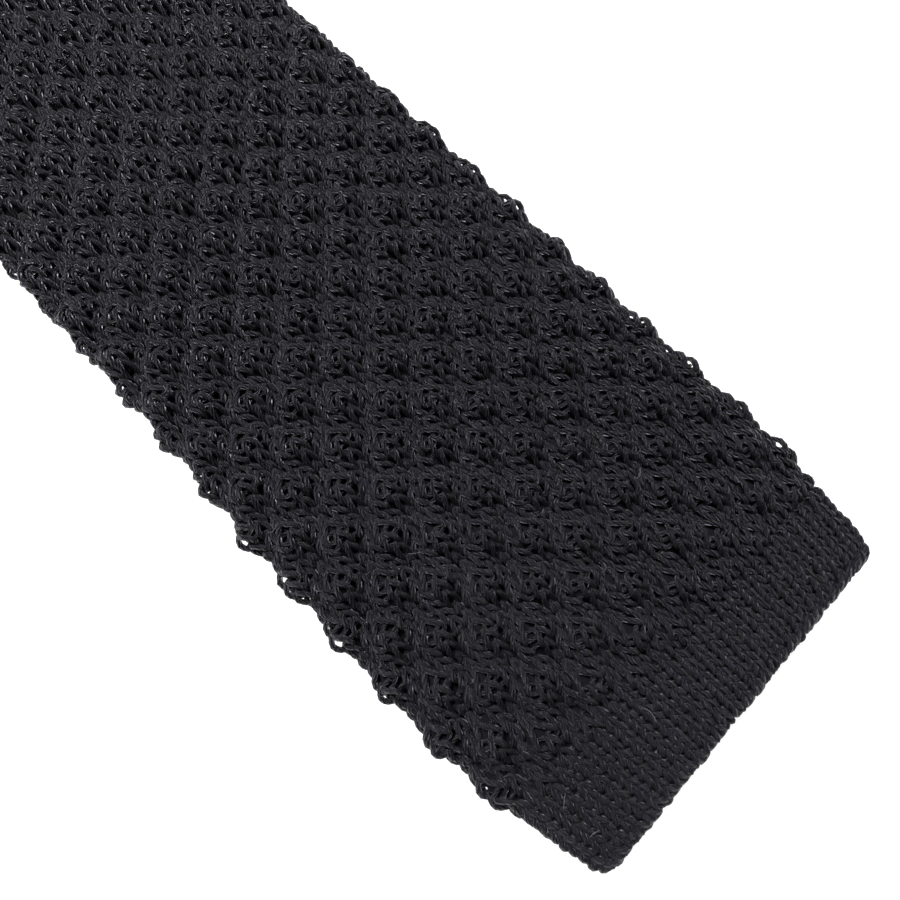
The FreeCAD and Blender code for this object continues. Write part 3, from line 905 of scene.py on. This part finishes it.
def make_lights():
    """Faint white surroundings, a high lamp beyond the blade, and a weak one at the side."""
    world = bpy.data.worlds.new("studio")
    bpy.context.scene.world = world
    world.use_nodes = True
    world.node_tree.nodes["Background"].inputs["Color"].default_value = (1, 1, 1, 1)
    world.node_tree.nodes["Background"].inputs["Strength"].default_value = 0.09
    target = (TIP_X - 80 * MM, 0, 0)
    make_light("key", (TIP_X - 0.37, 0.03, 0.57), target, size=0.22, power=14.2)
    make_light("fill", (TIP_X + 0.3, -0.6, 0.6), target, size=0.7, power=1.8)


make_camera()
make_floor()
make_lights()
bpy.context.scene.view_settings.view_transform = "Standard"

# ---- pieces

def dress(obj, body, material, nodes=()):
    """Gives a piece its material and body, and hides the CAD nodes it stands for."""
    obj.data.materials.append(material)
    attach(obj, body)
    if nodes:
        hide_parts(*nodes)
    return obj


# ---- front blade


END_INSET = 0.25 * MM           # the ground stops short of the end stitches
SEAM_INSET = 2 * MM

front_core = dress(core("front_ground", END_INSET, FRONT_END_S), "front_blade", gap_shade_ground,
                   ["front_blade_panel"])
front_close = dress(close_knit(), "front_blade", yarn)
front_rest = dress(plain_knit("front_rest_knit", BAND_LENGTH + 0.2 * MM, FRONT_END_S, 5, 4, True),
                   "front_blade", yarn)
front_band = dress(band_knit("front_band_knit", band_place_front, np.arange(-22, 31)),
                   "front_blade", yarn, ["front_end_band"])
front_lint = dress(lint_fibres("front_lint", 90, 3 * MM, BLADE_FULL_RUN), "front_blade", lint)
front_seam = dress(back_seam("front_seam", SEAM_INSET, FRONT_END_S), "front_blade", yarn_far,
                   ["front_back_seam"])
dress(end_loops("front_end_loops", TIP_X, BLADE_END_HALF, 1, FRONT_MID_Z), "front_blade", thread,
      ["front_end_stitches"])
dress(sewn_row("front_tack", "front_seam_tack", -1), "front_blade", thread,
      ["front_seam_tack"])
dress(keeper_strap(), "front_blade", gap_shade_ground, ["keeper_loop"])
dress(keeper_knit(), "front_blade", yarn)
for side in ("left", "right"):
    node = "keeper_tack_" + side
    dress(sewn_row("keeper_sewing_" + side, node, -1), "front_blade", thread, [node])
dress(label_cloth("blank_label", "maker_label", -1), "front_blade", satin,
      ["maker_label"])
dress(label_stitches("blank_label_stitches", "maker_label", -1), "front_blade", thread,
      ["maker_label_stitches"])

# ---- neck

# The cloth of the tail fold laps a little onto the neck and the tail.

TAIL_FOLD_LAP = 1.5 * MM
NECK_STOP_S = NECK_END_S - TAIL_FOLD_LAP
TAIL_FROM_S = TAIL_START_S + TAIL_FOLD_LAP

neck_core = dress(core("neck_ground", NECK_START_S, NECK_STOP_S), "neck", gap_shade_ground,
                  ["neck_front_half", "neck_tail_half"])
neck_yarns = dress(plain_knit("neck_knit", NECK_START_S, NECK_STOP_S, 4, 3), "neck", yarn)
neck_seam = dress(back_seam("neck_seam", NECK_START_S, NECK_STOP_S), "neck", yarn_far,
                  ["neck_back_seam"])
neck_join = dress(joining_seam(), "neck", yarn_far, ["neck_joining_seam"])
dress(label_cloth("care_tag", "care_label", 1), "neck", satin, ["care_label"])
dress(label_stitches("care_tag_stitches", "care_label", 1), "neck", thread,
      ["care_label_stitches"])
stay_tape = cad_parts["neck_stay_tape"]
stay_tape.data.materials.clear()
stay_tape.data.materials.append(tape)

# ---- tail

tail_core = dress(core("tail_ground", TAIL_FROM_S, TIE_LENGTH - END_INSET), "tail", gap_shade_ground,
                  ["tail_blade_panel"])
tail_yarns = dress(plain_knit("tail_knit", TAIL_FROM_S, TIE_LENGTH - TAIL_BAND_LENGTH, 4, 3),
                   "tail", yarn)
tail_band = dress(band_knit("tail_band_knit", band_place_tail, np.arange(-16, 24)), "tail", yarn,
                  ["tail_end_band"])
tail_seam = dress(back_seam("tail_seam", TAIL_FROM_S, TIE_LENGTH - SEAM_INSET), "tail", yarn_far,
                  ["tail_back_seam"])
dress(end_loops("tail_end_loops", TAIL_END_X, TAIL_END_HALF, -1, TAIL_MID_Z), "tail", yarn_far,
      ["tail_end_stitches"])
dress(sewn_row("tail_tack", "tail_seam_tack", -1), "tail", thread, ["tail_seam_tack"])

# ---- cloth round the two folds

def fold_cloth(prefix, node, s_low, s_high):
    """Ground, yarns and seam of the cloth that runs round a fold, from the neck to the next part.
    """
    made = [core(prefix + "_ground", s_low, s_high),
            plain_knit(prefix + "_knit", s_low, s_high, 5, 4),
            back_seam(prefix + "_seam", s_low, s_high)]
    for obj, material in zip(made, (gap_shade_ground, yarn, yarn_far)):
        obj.data.materials.append(material)
        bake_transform(obj)
    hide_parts(node)


fold_cloth("front_fold", "front_fold_bend", FRONT_END_S, NECK_START_S)
fold_cloth("tail_fold", "tail_fold_bend", NECK_STOP_S, TAIL_FROM_S)
